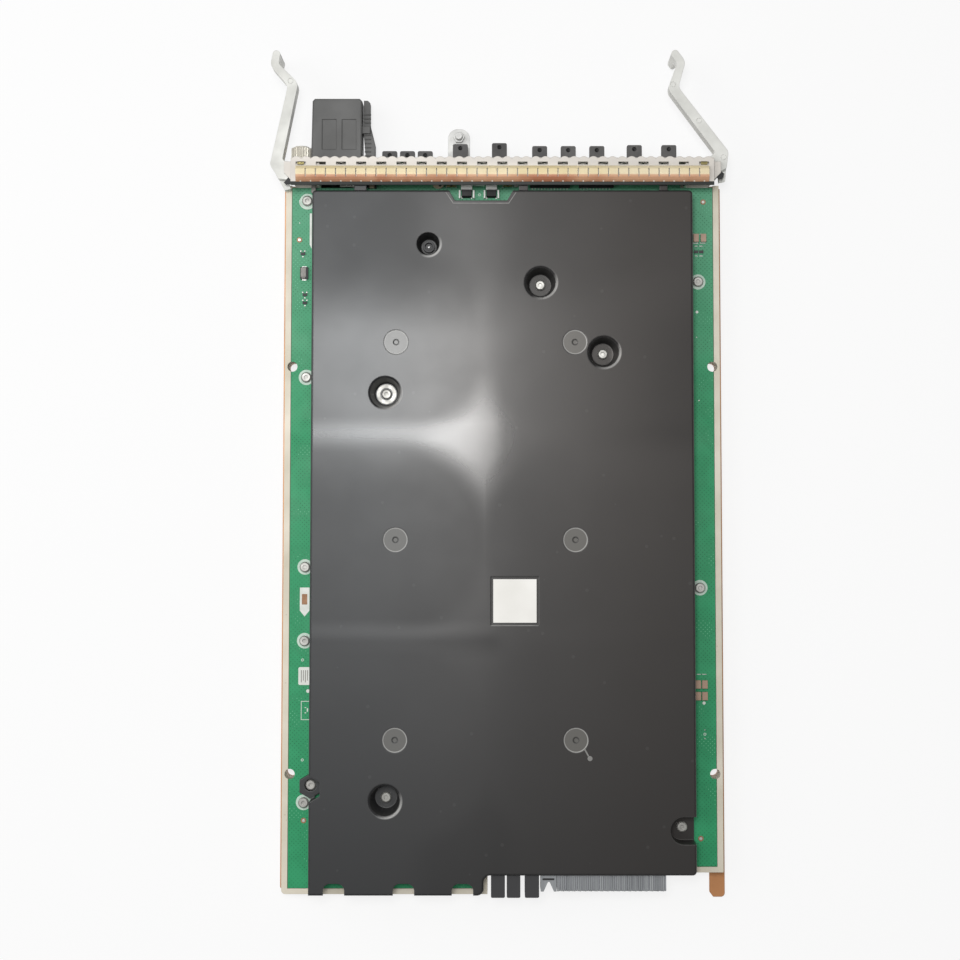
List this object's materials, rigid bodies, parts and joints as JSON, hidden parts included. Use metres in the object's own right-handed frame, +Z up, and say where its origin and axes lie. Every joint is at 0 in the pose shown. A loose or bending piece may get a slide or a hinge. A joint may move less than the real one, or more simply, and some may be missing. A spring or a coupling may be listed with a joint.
{
  "type": "baseband processing unit",
  "caption": "Plug-in baseband processing card with a metal tray, moulded air baffle, ported front panel, finger gasket and ejector levers.",
  "frame": {"origin": "centre of the bottom plate's underside", "axes": "+Z up, +Y towards the front panel, +X to the right seen from above"},
  "size_m": [0.2285, 0.4226, 0.0303],
  "materials": {
    "bronze_plate": "satin",
    "frame_plating": "matte",
    "board": "gloss",
    "baffle_plastic": "satin",
    "black_plastic": "matte",
    "grey_plastic": "matte",
    "white_plastic": "satin",
    "cap_rubber": "matte",
    "chip_body": "matte",
    "capacitor_ceramic": "satin",
    "panel_steel": "brushed",
    "gasket_metal": "satin",
    "lever_casting": "satin",
    "thumb_plating": "satin",
    "screw_steel": "satin",
    "black_screw": "satin",
    "bright_steel": "polished",
    "brass_contact": "polished",
    "pale_plate": "matte",
    "can_aluminium": "satin"
  },
  "bodies": {
    "chassis": {"bottom_plate": "bronze_plate", "plate_screws": "screw_steel", "side_frame": "frame_plating", "circuit_board": "board", "board_screws": "screw_steel", "board_standoffs": "screw_steel", "air_baffle": "baffle_plastic", "baffle_screws": "black_screw", "baffle_ring": "bright_steel", "baffle_pin": "bright_steel", "label_plate": "pale_plate", "faceplate": "panel_steel", "finger_gasket": "gasket_metal", "left_bracket": "panel_steel", "right_bracket": "panel_steel", "left_pivot_pin": "bright_steel", "right_pivot_pin": "bright_steel", "thumbscrew_bushing": "screw_steel", "power_inlet": "black_plastic", "inlet_contacts": "brass_contact", "sync_jacks": "black_plastic", "wide_cage_1": "panel_steel", "wide_cage_2": "panel_steel", "ganged_cage": "panel_steel", "single_cage_1": "panel_steel", "single_cage_2": "panel_steel", "ground_lug": "bright_steel", "ground_stud": "bright_steel", "ground_nut": "bright_steel", "backplane_wafers": "grey_plastic", "backplane_housing": "grey_plastic", "processors": "chip_body", "memory_chips": "chip_body", "power_modules": "black_plastic", "bulk_capacitors": "can_aluminium", "lamp_holders": "white_plastic", "small_chip": "chip_body", "chip_resistors": "chip_body", "chip_capacitors": "capacitor_ceramic", "rear_block_1": "black_plastic", "rear_block_2": "black_plastic", "rear_block_3": "black_plastic", "heat_sink_1": "can_aluminium", "heat_sink_2": "can_aluminium", "heat_sink_3": "can_aluminium"},
    "left_lever": {"left_lever": "lever_casting"},
    "right_lever": {"right_lever": "lever_casting"},
    "thumbscrew": {"thumbscrew": "thumb_plating"},
    "power_plug": {"power_plug": "black_plastic"},
    "plug_latch": {"plug_latch": "black_plastic"},
    "dust_cap_1": {"dust_cap_1": "cap_rubber"},
    "dust_cap_2": {"dust_cap_2": "cap_rubber"},
    "dust_cap_3": {"dust_cap_3": "cap_rubber"},
    "dust_cap_4": {"dust_cap_4": "cap_rubber"},
    "dust_cap_5": {"dust_cap_5": "cap_rubber"},
    "dust_cap_6": {"dust_cap_6": "cap_rubber"},
    "dust_cap_7": {"dust_cap_7": "cap_rubber"},
    "dust_cap_8": {"dust_cap_8": "cap_rubber"},
    "dust_cap_9": {"dust_cap_9": "cap_rubber"},
    "dust_cap_10": {"dust_cap_10": "cap_rubber"}
  },
  "joints": [
    {"name": "left_lever_hinge", "type": "hinge", "parent": "chassis", "child": "left_lever", "pos_m": [-0.0993, 0.1764, 0.0196], "axis": [0, 0, 1], "range_deg": [-78.8, 5]},
    {"name": "right_lever_hinge", "type": "hinge", "parent": "chassis", "child": "right_lever", "pos_m": [0.0993, 0.1764, 0.0196], "axis": [0, 0, -1], "range_deg": [-53.7, 30]},
    {"name": "thumbscrew_turn", "type": "hinge", "parent": "chassis", "child": "thumbscrew", "pos_m": [-0.1017, 0.188, 0.0096], "axis": [0, 1, 0], "continuous": true},
    {"name": "power_plug_pull", "type": "slide", "parent": "chassis", "child": "power_plug", "axis": [0, 1, 0], "range_m": [0, 0.025]},
    {"name": "plug_latch_hinge", "type": "hinge", "parent": "power_plug", "child": "plug_latch", "pos_m": [-0.0686, 0.2, 0.009], "axis": [0, 0, 1], "range_deg": [-4, 2]},
    {"name": "dust_cap_1_pull", "type": "slide", "parent": "chassis", "child": "dust_cap_1", "axis": [0, 1, 0], "range_m": [0, 0.009]},
    {"name": "dust_cap_2_pull", "type": "slide", "parent": "chassis", "child": "dust_cap_2", "axis": [0, 1, 0], "range_m": [0, 0.009]},
    {"name": "dust_cap_3_pull", "type": "slide", "parent": "chassis", "child": "dust_cap_3", "axis": [0, 1, 0], "range_m": [0, 0.009]},
    {"name": "dust_cap_4_pull", "type": "slide", "parent": "chassis", "child": "dust_cap_4", "axis": [0, 1, 0], "range_m": [0, 0.009]},
    {"name": "dust_cap_5_pull", "type": "slide", "parent": "chassis", "child": "dust_cap_5", "axis": [0, 1, 0], "range_m": [0, 0.009]},
    {"name": "dust_cap_6_pull", "type": "slide", "parent": "chassis", "child": "dust_cap_6", "axis": [0, 1, 0], "range_m": [0, 0.014]},
    {"name": "dust_cap_7_pull", "type": "slide", "parent": "chassis", "child": "dust_cap_7", "axis": [0, 1, 0], "range_m": [0, 0.014]},
    {"name": "dust_cap_8_pull", "type": "slide", "parent": "chassis", "child": "dust_cap_8", "axis": [0, 1, 0], "range_m": [0, 0.014]},
    {"name": "dust_cap_9_pull", "type": "slide", "parent": "chassis", "child": "dust_cap_9", "axis": [0, 1, 0], "range_m": [0, 0.014]},
    {"name": "dust_cap_10_pull", "type": "slide", "parent": "chassis", "child": "dust_cap_10", "axis": [0, 1, 0], "range_m": [0, 0.014]}
  ]
}
